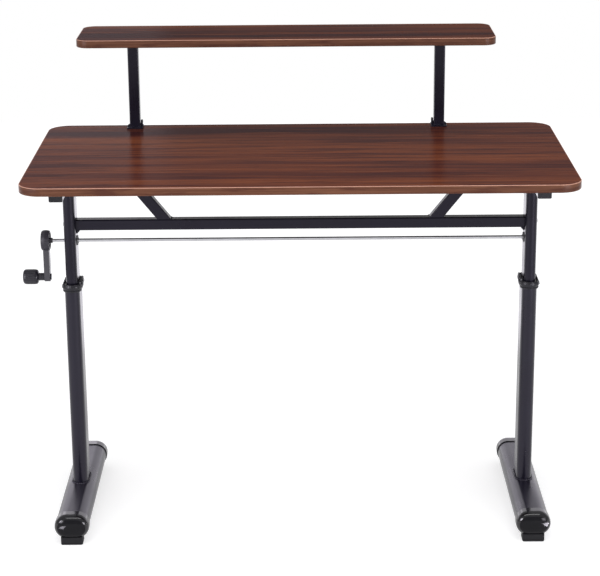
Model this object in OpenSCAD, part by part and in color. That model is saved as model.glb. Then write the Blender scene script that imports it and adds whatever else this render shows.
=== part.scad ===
// Desk with a crank-driven lifting frame and a raised rear shelf.
// X runs left to right, Y front to back and Z up from the floor, in millimetres.
// The crank is on the left. The desk is drawn raised about a quarter of its travel.

/* [Desktop] */
// Width of the desktop
desk_w = 1200; // [1140:10:1400]
// Depth of the desktop
desk_d = 600; // [560:10:720]
// Height of the desktop's upper face above the floor, as drawn
desk_h = 856; // [840:1:900]
// Thickness of the desktop and shelf boards
board_t = 18; // [16:1:25]
// Radius of the desktop's corners
desk_corner_r = 50; // [20:1:80]
// Thickness of the glued edge band
band_t = 2; // [1:0.5:3]

/* [Shelf] */
// Width of the shelf
shelf_w = 978; // [860:2:1100]
// Depth of the shelf
shelf_d = 200; // [150:10:260]
// Height of the shelf's upper face above the desktop
shelf_rise = 228; // [150:1:320]
// Radius of the shelf's corners
shelf_corner_r = 30; // [10:1:60]
// How far the shelf stands to the left of the desktop's middle
shelf_left = 30; // [0:1:60]
// Distance between the two shelf posts, centre to centre
post_span = 728; // [500:2:800]
// Side of the square post
post_w = 25; // [23:1:32]
// Distance from the desktop's rear edge to the post's centre
post_back = 24; // [22:1:80]
// Width of a post's foot plate
post_foot_w = 38; // [37:1:50]
// Width of a post's head plate
post_head_w = 46; // [44:1:60]
// Depth of a post's foot and head plates
post_plate_d = 40; // [38:1:44]
// Thickness of a post's foot and head plates
post_plate_t = 3; // [2:0.5:5]
// Height of the upright tab beside the foot of a post
post_tab_h = 16; // [10:1:40]

/* [Lifting frame] */
// Distance between the two legs, centre to centre
leg_span = 1050; // [950:10:1060]
// Side of the square side rails
rail_w = 30; // [25:1:40]
// Length of the side rails
rail_l = 464; // [420:2:540]
// Side of the square crossbar and of its braces
bar_w = 25; // [20:1:30]
// Distance from the desktop's underside to the crossbar's upper face
bar_drop = 132; // [110:1:150]
// Distance from the desktop's underside to the crank rod's axis
rod_drop = 183; // [178:1:200]
// Wall of the rails, crossbar, braces and posts
square_wall = 1.5; // [1.2:0.1:3]
// Outer corner radius of the square tubes
square_r = 3; // [2:0.5:5]
// Distance from the desk's middle to a brace's lower end
brace_foot_x = 310; // [200:5:340]
// How far a brace leans outwards on its way up
brace_run = 106; // [60:1:130]
// Thickness of a brace's fixing tab
tab_t = 3; // [2:0.5:5]

/* [Legs] */
// Width of the lower leg tube
low_w = 35; // [35:1:40]
// Depth of the lower leg tube, front to back
low_d = 75; // [75:1:90]
// Wall of the lower leg tube
low_wall = 2; // [1.5:0.1:2.4]
// Length of the lower leg tube above the foot
low_len = 484; // [470:1:500]
// Width of the upper leg tube
up_w = 27; // [26.6:0.1:27.4]
// Depth of the upper leg tube, front to back
up_d = 67; // [66:0.1:67.4]
// Wall of the upper leg tube
up_wall = 1.5; // [1.2:0.1:1.6]
// Thickness of the plates that close the legs' ends
leg_plate_t = 5; // [4:0.5:8]
// Length of the guide sleeve in the mouth of the lower tube
sleeve_l = 45; // [30:1:60]
// Length of the slide block on the foot of the upper tube
block_l = 25; // [15:1:40]
// Travel above the drawn height
lift_up = 250; // [200:5:260]

/* [Feet] */
// Length of a foot, end to end
foot_l = 470; // [400:5:560]
// Width of a foot
foot_w = 75; // [70:1:90]
// Height of a foot's section
foot_t = 52; // [46:1:56]
// Wall of a foot tube
foot_wall = 2; // [1.5:0.1:3]
// Length of an end cap
cap_l = 38; // [30:1:50]
// Radius of the round edge of an end cap
cap_round = 12; // [4:1:16]
// How far an end cap stands proud of the foot tube
cap_proud = 0.8; // [0.2:0.1:1.5]
// Length of an end cap's sleeve, from its seam to its groove
cap_sleeve_l = 12.4; // [8:0.2:12.4]
// Height of a rubber pad
pad_h = 14; // [8:1:20]
// Width of a rubber pad
pad_w = 50; // [40:1:52]
// Length of a rubber pad
pad_l = 34; // [20:1:36]

/* [Clamp collars] */
// Wall of a collar
collar_wall = 4; // [3.5:0.5:5]
// How far a collar reaches down over the lower tube
collar_down = 10; // [8:1:18]
// How far a collar reaches above the lower tube
collar_up = 8; // [6:1:10]
// How far the belly of a collar stands out
collar_bulge = 1.5; // [1:0.1:2]
// Thickness of a collar at its open rim
collar_rim_t = 1.6; // [1:0.1:2]
// Width of the lock lever, along its pin
lever_w = 12; // [8:1:14]
// Thickness of the lock lever
lever_t = 6; // [5:0.5:7]
// Length of the lock lever above its pin
lever_l = 14; // [12:1:24]
// Lean of the lock lever away from the leg, in degrees
lever_lean = 20; // [8:1:24]
// Diameter of the lock lever's pin
lever_pin_d = 4; // [3:0.5:4]
// How far the lock lever stands in front of the leg's middle
lever_front = 10; // [0:1:11]

/* [Drive] */
// Distance across the flats of the hexagonal crank rod
rod_af = 7; // [6:0.5:7]
// Diameter of the rod's round end
rod_end_d = 7; // [5:0.5:7]
// Outer diameter of the lead screw
screw_d = 12; // [10:1:12]
// Outer diameter of the tube that carries the lead nut
nut_tube_d = 20; // [18:1:20]
// Wall of the tube that carries the lead nut
nut_tube_wall = 1.5; // [1:0.1:1.6]
// Length of the tube that carries the lead nut
nut_tube_l = 365; // [330:5:390]
// Length of the lead nut in its tube
nut_l = 26; // [16:1:40]
// Number of teeth of every bevel gear
teeth = 14; // [14]
// Pitch radius of every bevel gear at its outer end
gear_r = 10; // [9:0.1:10]
// Width of the toothed face, along the cone
gear_face = 5; // [3:0.5:5.5]
// Width of a tooth gap on the pitch line, as a share of the pitch
gap_share = 0.59; // [0.57:0.01:0.62]
// Height of the thrust bearing
bearing_h = 7; // [6:0.5:9]
// Diameter of the thrust bearing
bearing_d = 22; // [20:0.5:23]
// Diameter of the flange on the rod's bushes
bush_flange_d = 23; // [20:1:24]

/* [Crank] */
// Distance from the rod's axis to the knob's axis
crank_r = 87; // [70:1:110]
// Bare length of rod between the leg and the crank
crank_gap = 29.3; // [20:0.1:40]
// Diameter of the crank's hub
hub_d = 48; // [40:1:56]
// Thickness of the crank's hub
hub_t = 19; // [18:0.5:24]
// Length of the hub's neck towards the leg
boss_l = 6.2; // [4:0.1:10]
// Diameter of the hub's neck
boss_d = 12; // [11:0.5:16]
// Thickness of the crank's arm
arm_t = 13.5; // [10:0.5:14]
// Width of the crank's arm
arm_w = 22; // [18:1:26]
// Diameter of the knob's pin
pin_d = 8; // [6:0.5:9]
// Diameter of the knob's neck
neck_d = 17.6; // [15:0.1:20]
// Length of the knob's neck
neck_l = 13.3; // [10:0.1:16]
// Diameter of the knob's grip
grip_d = 34.8; // [28:0.1:40]
// Length of the knob's grip
grip_l = 35.8; // [30:0.1:45]

/* [Fits] */
// Clearance of a seated piece on each side
seat_gap = 0.1; // [0.05:0.05:0.2]
// Clearance of a sliding tube on each side
slide_gap = 0.3; // [0.3:0.05:0.4]
// Clearance of a turning shaft on each side
run_gap = 0.05; // [0.03:0.01:0.08]
// Gap between a turning piece and the face beside it
face_gap = 0.3; // [0.3:0.05:0.5]

/* [Hidden] */
$fn = 64;

// Colours
walnut = [0.37, 0.23, 0.2];
edge_brown = [0.47, 0.3, 0.23];
black_paint = [0.2, 0.19, 0.22];
black_plastic = [0.13, 0.13, 0.14];
rubber = [0.1, 0.1, 0.1];
zinc = [0.66, 0.66, 0.68];
nylon = [0.85, 0.84, 0.78];
brass = [0.75, 0.6, 0.3];
steel = [0.55, 0.55, 0.57];
side_left = -1;
side_right = 1;
sides = [side_left, side_right];

// Heights, from the floor up
foot_axis_z = pad_h + cap_proud + foot_t / 2;
foot_top = foot_axis_z + foot_t / 2;
low_top = foot_top + low_len;
under_z = desk_h - board_t;
rail_z = under_z - rail_w / 2;
up_top = under_z - rail_w - leg_plate_t;
bar_top = under_z - bar_drop;
bar_z = bar_top - bar_w / 2;
rod_z = under_z - rod_drop;
stop_gap = 5;
up_bottom = low_top - sleeve_l - stop_gap - lift_up - block_l;
shelf_top = desk_h + shelf_rise;
shelf_under = shelf_top - board_t;

// Shelf and post places, from the desk's middle
post_y = desk_d / 2 - post_back;
post_xs = [-shelf_left - post_span / 2, -shelf_left + post_span / 2];
shelf_hole_x = post_head_w / 2 - 5;
shelf_hole_y = post_plate_d / 2 - 6;

// Fasteners
wood_screw_d = 4.8;
wood_screw_head_d = 10;
wood_screw_head_h = 3;
wood_screw_bite = 13;
brace_screw_out = 12;
plate_bolt_d = 6;
plate_bolt_head_d = 10;
plate_bolt_head_h = 5;
post_bolt_tail = 5;
post_bolt_y = post_w / 2 - square_wall - plate_bolt_d / 2 - 1.5;
bar_bolt_head_d = 9;
bar_bolt_head_h = 3;
foot_bolt_d = 8;
foot_bolt_head_d = 13;
foot_bolt_head_h = 8;
foot_bolt_gap = 46;
foot_access_d = 18;
bolt_tail = 8;
plate_bolt_gap = up_d + 2 * plate_bolt_head_d;
rail_screw_ys = [-rail_l / 2 + 28, -rail_l / 4, rail_l / 4, rail_l / 2 - 28];
rail_bolt_tail = 12;

// Guides and nut
sleeve_lip = 2;
block_lip = 3;
nut_base_z = foot_top + leg_plate_t;
nut_top_z = nut_base_z + nut_tube_l;
nut_flange_t = 4;
screw_end_gap = 10;
screw_bottom = nut_top_z - nut_l - lift_up - screw_end_gap;

// Gear housing, measured from the rod's axis
bore_w = up_w - 2 * up_wall;
bore_d = up_d - 2 * up_wall;
housing_below = 28;
housing_above = rod_drop - bar_drop - bar_w / 2 + 8;
cavity_below = 14.2;
cavity_half = 12.2;
journal_d = 9;
gear_seat_d = 8;
shoulder_h = 4;
shoulder_d = bearing_d - 2;
ball_d = 3.2;
ball_count = 10;
race_play = 0.05;

// Bevel gears: cones at 45 degrees with the apex where the two axes cross
gear_pitch = 2 * PI * gear_r / teeth;
tooth_out = 0.24 * gear_pitch;
tooth_in = 0.33 * gear_pitch;
cone_l = gear_r * sqrt(2);
toe = (cone_l - gear_face) / cone_l;
flank = 22;
gear_back = 1;
heel_back_z = gear_r + (tooth_in + gear_back) / sqrt(2);
screw_gear_hub_d = 14;
screw_gear_hub_z = cavity_below - face_gap;
rod_gear_hub_d = 12;
rod_gear_hub_z = up_w / 2 + 4.5;
rod_corner_d = rod_af / cos(30);
rod_shoulder = 9;
rod_short = 6;

// Bushes of the rod
bush_d = 16;
bush_flange_t = 2.5;
end_bush_d = 12;
end_bush_flange_d = 15;
end_bush_flange_t = 1;

// Collar, lever and pin
collar_flat = low_d - low_w;
collar_r = low_w / 2 + collar_wall;
collar_belly_r = collar_r + collar_bulge;
collar_rim_r = collar_r - 0.5;
collar_low_z = low_top - collar_down;
collar_high_z = low_top + collar_up;
collar_lip_z = low_top + sleeve_lip + seat_gap;
cam_r = 4;
cam_throw = 0.8;
pivot_x = up_w / 2 + face_gap + cam_r + cam_throw;
pivot_z = collar_lip_z + face_gap + cam_r + cam_throw;
pocket_w = lever_w + 2 * face_gap;
ear_r = 5.5;
ear_t = 3;
ear_drop = 9;
pin_l = pocket_w + 2 * ear_t;
lever_slot_w = 2.4;
lever_slot_l = 6;

// Crank, measured outwards from the left leg's axis
boss_at = up_w / 2 + crank_gap;
hub_at = boss_at + boss_l;
hub_end = hub_at + hub_t;
arm_at = hub_at + 2.1;
arm_end = arm_at + arm_t;
neck_at = arm_end + face_gap;
grip_at = neck_at + neck_l;
knob_end = grip_at + grip_l;
hub_barrel = 1.5;
hub_recess = 2;
hub_rim = 3.5;
arm_grip_r = 15;
rod_in_hub = 12;
pin_head_d = 14;
pin_head_t = 2.5;
pin_end = knob_end - 8;
pin_play = 2;
grip_round = 5;
grip_flutes = 20;
flute_r = 2;
flute_t = 0.6;
flute_end = 1;

// The drawing's origin is on the floor, under the middle of the whole outline
desk_x = (leg_span / 2 + knob_end - desk_w / 2) / 2;
desk_y = -(post_y + shelf_d / 2 - desk_d / 2) / 2;
eps = 1;

// Places and turns

module at_desk() translate([desk_x, desk_y, 0]) children();

// A leg's own frame: x points from the leg towards the desk's middle
module at_leg(side) {
    at_desk() translate([side * leg_span / 2, 0, 0])
        if (side > 0) mirror([1, 0, 0]) children();
        else children();
}

module both_legs() {
    for (side = sides) at_leg(side) children();
}

// Turns a flat outline into a bar along X or along Y, centred
module along_x(length) rotate([90, 0, 90]) linear_extrude(length, center = true) children();

module along_y(length) rotate([90, 0, 0]) linear_extrude(length, center = true) children();

// A round bar along X from x0 to x1
module rod_x(d, x0, x1) translate([x0, 0, 0]) rotate([0, 90, 0]) cylinder(d = d, h = x1 - x0);

// A round bar along Y, centred
module rod_y(d, length) rotate([90, 0, 0]) cylinder(d = d, h = length, center = true);

// Flat outlines

module oval(w, d) {
    square([w, d - w], center = true);
    for (end = [-1, 1]) translate([0, end * (d - w) / 2]) circle(d = w);
}

module round_rect(w, d, r) {
    square([w, d - 2 * r], center = true);
    square([w - 2 * r, d], center = true);
    for (ex = [-1, 1], ey = [-1, 1])
        translate([ex * (w / 2 - r), ey * (d / 2 - r)]) circle(r = r);
}

module square_tube(w) {
    difference() {
        round_rect(w, w, square_r);
        round_rect(w - 2 * square_wall, w - 2 * square_wall, square_r - square_wall);
    }
}

module oval_wall(w, d, wall, z0, z1) {
    translate([0, 0, z0]) linear_extrude(z1 - z0) difference() {
        oval(w, d);
        oval(w - 2 * wall, d - 2 * wall);
    }
}

// Sweeps half an outline, r across and h up, round an oval whose long side lies along Y
module oval_turn(flat) {
    for (end = [-1, 1]) translate([0, end * flat / 2, 0]) rotate_extrude() children();
    rotate([90, 0, 0]) linear_extrude(flat, center = true) {
        children();
        mirror([1, 0]) children();
    }
}

module foot_oval(inset) rotate(90) oval(foot_t - 2 * inset, foot_w - 2 * inset);

// Fasteners, head down and shank up from z = 0

module wood_screw(length) {
    translate([0, 0, -wood_screw_head_h]) rotate_extrude() {
        difference() {
            union() {
                square([wood_screw_head_d / 2, 1]);
                square([wood_screw_head_d / 2 - 1.5, wood_screw_head_h]);
                translate([0, 1]) square([wood_screw_head_d / 2 - 0.5, 1]);
            }
            square([1.6, 1.4]);
        }
    }
    cylinder(d = wood_screw_d - 2 * seat_gap, h = length);
}

module wood_hole(length) cylinder(d = wood_screw_d, h = length + seat_gap);

module cap_bolt(d, head_d, head_h, length) {
    difference() {
        translate([0, 0, -head_h]) cylinder(d = head_d, h = head_h);
        translate([0, 0, -head_h - eps]) cylinder(d = head_d / 2, h = head_h / 2 + eps, $fn = 6);
    }
    cylinder(d = d, h = length);
}

// Feet

module foot_tube() {
    color(black_paint) difference() {
        translate([0, 0, foot_axis_z]) along_y(foot_l - 2 * cap_l) difference() {
            foot_oval(0);
            foot_oval(foot_wall);
        }
        for (end = [-1, 1]) translate([0, end * foot_bolt_gap / 2, 0]) {
            cylinder(d = foot_access_d, h = foot_axis_z);
            translate([0, 0, foot_axis_z]) cylinder(d = foot_bolt_d + 2 * seat_gap, h = foot_t);
        }
    }
}

// Half a section of the cap, r across and h along the foot, with a groove between its sleeve and its nose
module cap_half(r) {
    groove_w = 1.3;
    groove_t = 0.8;
    difference() {
        union() {
            square([r, cap_l - cap_round]);
            square([r - cap_round, cap_l]);
            translate([r - cap_round, cap_l - cap_round]) circle(r = cap_round);
        }
        translate([r - groove_t, cap_sleeve_l]) square([groove_t + eps, groove_w]);
    }
}

// One end cap, its closed end towards +Y and its seam with the tube at y = 0
module foot_cap() {
    color(black_plastic) translate([0, 0, foot_axis_z]) {
        difference() {
            rotate([-90, 0, 0]) rotate([0, 0, 90])
                oval_turn(foot_w - foot_t) cap_half(foot_t / 2 + cap_proud);
            translate([0, cap_l / 2 - 5, 0]) along_y(cap_l) foot_oval(foot_wall + 6);
        }
        translate([0, -10, 0]) along_y(20) difference() {
            foot_oval(foot_wall + seat_gap);
            foot_oval(foot_wall + 3);
        }
    }
}

module foot_caps() {
    for (turn = [0, 180]) rotate([0, 0, turn]) translate([0, foot_l / 2 - cap_l, 0]) foot_cap();
}

module foot_pad() {
    color(rubber) difference() {
        linear_extrude(foot_axis_z) round_rect(pad_w, pad_l, 5);
        translate([0, 0, foot_axis_z]) along_y(pad_l + 2 * eps) foot_oval(-cap_proud);
    }
}

module left_foot_tube() at_leg(side_left) foot_tube();
module right_foot_tube() at_leg(side_right) foot_tube();
module left_foot_caps() at_leg(side_left) foot_caps();
module right_foot_caps() at_leg(side_right) foot_caps();

module foot_pads() {
    both_legs() for (end = [-1, 1])
        translate([0, end * (foot_l / 2 - cap_l + pad_l / 2), 0]) foot_pad();
}

// Lower legs

module lower_tube() {
    color(black_paint) difference() {
        oval_wall(low_w, low_d, low_wall, foot_top - foot_wall, low_top);
        translate([0, 0, foot_axis_z]) along_y(foot_l) foot_oval(0);
    }
}

module left_lower_tube() at_leg(side_left) lower_tube();
module right_lower_tube() at_leg(side_right) lower_tube();

module leg_base_plates() {
    inset = low_wall + seat_gap;
    color(steel) both_legs() translate([0, 0, foot_top]) difference() {
        linear_extrude(leg_plate_t) oval(low_w - 2 * inset, low_d - 2 * inset);
        for (end = [-1, 1]) translate([0, end * foot_bolt_gap / 2, -eps])
            cylinder(d = foot_bolt_d + 2 * seat_gap, h = leg_plate_t + 2 * eps);
    }
}

module foot_bolts() {
    color(zinc) both_legs() for (end = [-1, 1])
        translate([0, end * foot_bolt_gap / 2, foot_top - foot_wall])
            cap_bolt(foot_bolt_d, foot_bolt_head_d, foot_bolt_head_h, foot_wall + leg_plate_t + bolt_tail);
}

module guide_sleeve() {
    inset = low_wall + seat_gap;
    inner_w = up_w + 2 * slide_gap;
    inner_d = up_d + 2 * slide_gap;
    color(nylon) difference() {
        union() {
            translate([0, 0, low_top - sleeve_l]) linear_extrude(sleeve_l)
                oval(low_w - 2 * inset, low_d - 2 * inset);
            translate([0, 0, low_top]) linear_extrude(sleeve_lip) oval(low_w, low_d);
        }
        translate([0, 0, low_top - sleeve_l - eps])
            linear_extrude(sleeve_l + sleeve_lip + 2 * eps) oval(inner_w, inner_d);
    }
}

module left_guide_sleeve() at_leg(side_left) guide_sleeve();
module right_guide_sleeve() at_leg(side_right) guide_sleeve();

// Clamp collars, each with a cam lever on a pin between two ears

module at_lever() translate([pivot_x, -lever_front, pivot_z]) children();

// Half a section of the collar's outside: a bead at its foot, a waist, a belly and an open rim
module collar_half() {
    polygon([
        [0, collar_low_z], [collar_r - 0.5, collar_low_z], [collar_r, collar_low_z + 0.5],
        [collar_r, collar_low_z + 3], [collar_r - 0.8, collar_low_z + 4],
        [collar_belly_r, low_top - 1], [collar_belly_r, low_top + 2],
        [collar_rim_r, collar_high_z - 0.5], [collar_rim_r - 0.5, collar_high_z], [0, collar_high_z]
    ]);
}

// Half a section of the cup in its top: its floor rests on the guide sleeve's lip and its wall leans outwards
module collar_cup_half() {
    polygon([
        [0, collar_lip_z], [low_w / 2 - 1, collar_lip_z],
        [collar_rim_r - collar_rim_t, collar_high_z], [collar_rim_r - collar_rim_t, collar_high_z + eps],
        [0, collar_high_z + eps]
    ]);
}

// The block that the ears are cut from, from the leg's side outwards
module ear_block() {
    reach = pivot_x - up_w / 2;
    at_lever() along_y(pin_l) {
        circle(r = ear_r);
        translate([-reach, -ear_drop]) square([reach + ear_r, ear_drop]);
    }
}

// The pin's hole runs out through the front, where the pin is driven in
module clamp_collar() {
    color(black_plastic) difference() {
        union() {
            difference() {
                oval_turn(collar_flat) collar_half();
                oval_turn(collar_flat) collar_cup_half();
            }
            ear_block();
        }
        translate([0, 0, collar_low_z - eps]) linear_extrude(collar_lip_z - collar_low_z + eps)
            oval(low_w + 2 * seat_gap, low_d + 2 * seat_gap);
        translate([0, 0, collar_lip_z - eps]) linear_extrude(collar_high_z + ear_r - collar_lip_z)
            oval(up_w + 2 * slide_gap, up_d + 2 * slide_gap);
        translate([0, -lever_front - pocket_w / 2, collar_lip_z])
            cube([collar_belly_r + ear_r, pocket_w, collar_high_z + ear_r - collar_lip_z]);
        at_lever() translate([0, pin_l / 2 - low_d / 4, 0]) rod_y(lever_pin_d + 2 * seat_gap, low_d / 2);
    }
}

module left_clamp_collar() at_leg(side_left) clamp_collar();
module right_clamp_collar() at_leg(side_right) clamp_collar();

module lever_pins() {
    color(zinc) both_legs() at_lever() rod_y(lever_pin_d, pin_l);
}

// The lever's root is a round cam, set off its pin towards the leg
module lever_outline() {
    difference() {
        union() {
            translate([-cam_throw, 0]) circle(r = cam_r);
            rotate(-lever_lean) {
                translate([-lever_t / 2, 0]) square([lever_t, lever_l - lever_t / 2]);
                translate([0, lever_l - lever_t / 2]) circle(d = lever_t);
            }
        }
        circle(d = lever_pin_d + 2 * run_gap);
        rotate(-lever_lean) translate([-lever_slot_w / 2, lever_l - lever_t / 2 - lever_slot_l])
            square([lever_slot_w, lever_slot_l]);
    }
}

module lock_lever() {
    color(black_plastic) at_lever() along_y(lever_w) lever_outline();
}

module left_lock_lever() at_leg(side_left) lock_lever();
module right_lock_lever() at_leg(side_right) lock_lever();

// Lead nuts on the tubes that stand inside the lower legs

module nut_tube() {
    color(steel) translate([0, 0, nut_base_z]) difference() {
        cylinder(d = nut_tube_d, h = nut_tube_l);
        translate([0, 0, -eps]) cylinder(d = nut_tube_d - 2 * nut_tube_wall, h = nut_tube_l + 2 * eps);
    }
}

module lead_nut() {
    body_d = nut_tube_d - 2 * nut_tube_wall - 2 * seat_gap;
    color(brass) difference() {
        union() {
            translate([0, 0, nut_top_z - nut_l]) cylinder(d = body_d, h = nut_l);
            translate([0, 0, nut_top_z]) cylinder(d = nut_tube_d, h = nut_flange_t);
        }
        translate([0, 0, nut_top_z - nut_l - eps])
            cylinder(d = screw_d + 2 * run_gap, h = nut_l + nut_flange_t + 2 * eps);
    }
}

module left_nut_tube() at_leg(side_left) nut_tube();
module right_nut_tube() at_leg(side_right) nut_tube();
module left_lead_nut() at_leg(side_left) lead_nut();
module right_lead_nut() at_leg(side_right) lead_nut();

// Upper legs

module upper_tube(crank_side) {
    color(black_paint) difference() {
        oval_wall(up_w, up_d, up_wall, up_bottom, up_top);
        translate([0, 0, rod_z]) rod_x(bush_d + 2 * seat_gap, 0, up_w);
        if (crank_side) translate([0, 0, rod_z]) rod_x(end_bush_d + 2 * seat_gap, -up_w, 0);
        translate([0, 0, bar_z]) rod_x(plate_bolt_d + 2 * seat_gap, -up_w, up_w);
    }
}

module left_upper_tube() at_leg(side_left) upper_tube(true);
module right_upper_tube() at_leg(side_right) upper_tube(false);

module slide_block() {
    outer = low_wall + slide_gap;
    color(nylon) difference() {
        translate([0, 0, up_bottom - block_lip]) linear_extrude(block_l + block_lip)
            oval(low_w - 2 * outer, low_d - 2 * outer);
        translate([0, 0, up_bottom]) linear_extrude(block_l + eps)
            oval(up_w + 2 * seat_gap, up_d + 2 * seat_gap);
        translate([0, 0, up_bottom - block_lip - eps]) linear_extrude(block_lip + 2 * eps)
            oval(bore_w, bore_d);
    }
}

module left_slide_block() at_leg(side_left) slide_block();
module right_slide_block() at_leg(side_right) slide_block();

module leg_top_plates() {
    plate_d = plate_bolt_gap + 2 * plate_bolt_head_d;
    color(black_paint) both_legs() translate([0, 0, up_top]) difference() {
        linear_extrude(leg_plate_t) round_rect(rail_w, plate_d, 4);
        for (end = [-1, 1]) translate([0, end * plate_bolt_gap / 2, -eps])
            cylinder(d = plate_bolt_d + 2 * seat_gap, h = leg_plate_t + 2 * eps);
    }
}

module top_plate_bolts() {
    color(zinc) both_legs() for (end = [-1, 1]) translate([0, end * plate_bolt_gap / 2, up_top])
        cap_bolt(plate_bolt_d, plate_bolt_head_d, plate_bolt_head_h, leg_plate_t + rail_bolt_tail);
}

// Frame under the desktop

module side_rail() {
    color(black_paint) difference() {
        translate([0, 0, rail_z]) along_y(rail_l) square_tube(rail_w);
        for (y = rail_screw_ys) translate([0, y, up_top]) wood_hole(rail_w + leg_plate_t + eps);
        for (end = [-1, 1]) translate([0, end * plate_bolt_gap / 2, up_top])
            cylinder(d = plate_bolt_d + 2 * seat_gap, h = leg_plate_t + rail_w / 2);
    }
}

module left_side_rail() at_leg(side_left) side_rail();
module right_side_rail() at_leg(side_right) side_rail();

module rail_end_plugs() {
    plug_t = 2.5;
    plug_in = 14;
    inner = rail_w - 2 * square_wall - 2 * seat_gap;
    color(black_plastic) both_legs() for (turn = [0, 180])
        rotate([0, 0, turn]) translate([0, rail_l / 2, rail_z]) {
            translate([0, plug_t / 2, 0]) along_y(plug_t) round_rect(rail_w, rail_w, square_r);
            translate([0, -plug_in / 2, 0]) along_y(plug_in) difference() {
                round_rect(inner, inner, square_r - square_wall);
                round_rect(inner - 4, inner - 4, 1);
            }
        }
}

bar_l = leg_span - up_w;
end_block_l = 14;

module crossbar() {
    color(black_paint) at_desk() translate([0, 0, bar_z]) along_x(bar_l) square_tube(bar_w);
}

module crossbar_end_blocks() {
    inner = bar_w - 2 * square_wall - 2 * seat_gap;
    color(zinc) both_legs() translate([up_w / 2 + end_block_l / 2, 0, bar_z]) difference() {
        along_x(end_block_l) round_rect(inner, inner, square_r - square_wall);
        rod_x(plate_bolt_d + 2 * seat_gap, -end_block_l, end_block_l);
    }
}

module crossbar_bolts() {
    color(zinc) both_legs() translate([-up_w / 2, 0, bar_z]) rotate([0, 90, 0])
        cap_bolt(plate_bolt_d, bar_bolt_head_d, bar_bolt_head_h, up_w + end_block_l - 2);
}

module crossbar_gussets() {
    reach = 8;
    width = 16;
    color(black_paint) both_legs() translate([up_w / 2, 0, bar_z - bar_w / 2])
        along_y(width) polygon([[0, 0], [reach, 0], [reach, -2], [2, -reach], [0, -reach]]);
}

module brace() {
    lean = atan(brace_run / bar_drop);
    span = 2 * bar_drop / cos(lean) + bar_w;
    cut_w = bar_w / cos(lean);
    tab_l = cut_w + 2 * (brace_screw_out + wood_screw_head_d / 2 + 1);
    screw_at = cut_w / 2 + brace_screw_out;
    color(black_paint) {
        intersection() {
            translate([brace_foot_x, 0, bar_top]) rotate([0, lean, 0])
                linear_extrude(span, center = true) square_tube(bar_w);
            translate([0, -bar_w, bar_top]) cube([desk_w, 2 * bar_w, bar_drop - tab_t / 2]);
        }
        translate([brace_foot_x + brace_run, 0, under_z - tab_t]) difference() {
            linear_extrude(tab_t) round_rect(tab_l, bar_w, 4);
            for (end = [-1, 1]) translate([end * screw_at, 0, -eps]) wood_hole(tab_t + 2 * eps);
        }
    }
}

module left_brace() at_desk() mirror([1, 0, 0]) brace();
module right_brace() at_desk() brace();

// Places of the screws under the desktop: [x, y, thickness that the screw passes]
brace_screw_at = bar_w / cos(atan(brace_run / bar_drop)) / 2 + brace_screw_out;
desk_screw_places = concat(
    [for (side = sides, y = rail_screw_ys) [side * leg_span / 2, y, rail_w]],
    [for (side = sides, end = [-1, 1])
        [side * (brace_foot_x + brace_run + end * brace_screw_at), 0, tab_t]]
);

module desktop() {
    color(walnut) at_desk() difference() {
        translate([0, 0, under_z]) linear_extrude(board_t)
            round_rect(desk_w - 2 * band_t, desk_d - 2 * band_t, desk_corner_r - band_t);
        for (p = desk_screw_places) translate([p[0], p[1], under_z - eps]) wood_hole(wood_screw_bite + eps);
        post_bolt_places() translate([0, 0, under_z - eps])
            cylinder(d = plate_bolt_d + 2 * seat_gap, h = board_t + 2 * eps);
    }
}

module edge_band(w, d, r, z) {
    translate([0, 0, z]) linear_extrude(board_t) difference() {
        round_rect(w, d, r);
        round_rect(w - 2 * band_t, d - 2 * band_t, r - band_t);
    }
}

module desktop_edge_band() {
    color(edge_brown) at_desk() edge_band(desk_w, desk_d, desk_corner_r, under_z);
}

module desktop_screws() {
    color(zinc) at_desk() for (p = desk_screw_places)
        translate([p[0], p[1], under_z - p[2]]) wood_screw(p[2] + wood_screw_bite);
}

// Shelf and its posts

module post_bolt_places() {
    for (x = post_xs, ey = [-1, 1]) translate([x, post_y + ey * post_bolt_y, 0]) children();
}

module shelf_screw_places() {
    for (x = post_xs, ex = [-1, 1], ey = [-1, 1])
        translate([x + ex * shelf_hole_x, post_y + ey * shelf_hole_y, 0]) children();
}

module shelf() {
    color(walnut) at_desk() difference() {
        translate([-shelf_left, post_y, shelf_under]) linear_extrude(board_t)
            round_rect(shelf_w - 2 * band_t, shelf_d - 2 * band_t, shelf_corner_r - band_t);
        shelf_screw_places() translate([0, 0, shelf_under - eps]) wood_hole(wood_screw_bite + eps);
    }
}

module shelf_edge_band() {
    color(edge_brown) at_desk() translate([-shelf_left, post_y, 0])
        edge_band(shelf_w, shelf_d, shelf_corner_r, shelf_under);
}

module post_foot_plate() {
    difference() {
        linear_extrude(post_plate_t) round_rect(post_foot_w, post_plate_d, 3);
        for (ey = [-1, 1]) translate([0, ey * post_bolt_y, -eps])
            cylinder(d = plate_bolt_d + 2 * seat_gap, h = post_plate_t + 2 * eps);
    }
}

module post_head_plate() {
    difference() {
        linear_extrude(post_plate_t) round_rect(post_head_w, post_plate_d, 3);
        for (ex = [-1, 1], ey = [-1, 1]) translate([ex * shelf_hole_x, ey * shelf_hole_y, -eps])
            wood_hole(post_plate_t + 2 * eps);
    }
}

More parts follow.
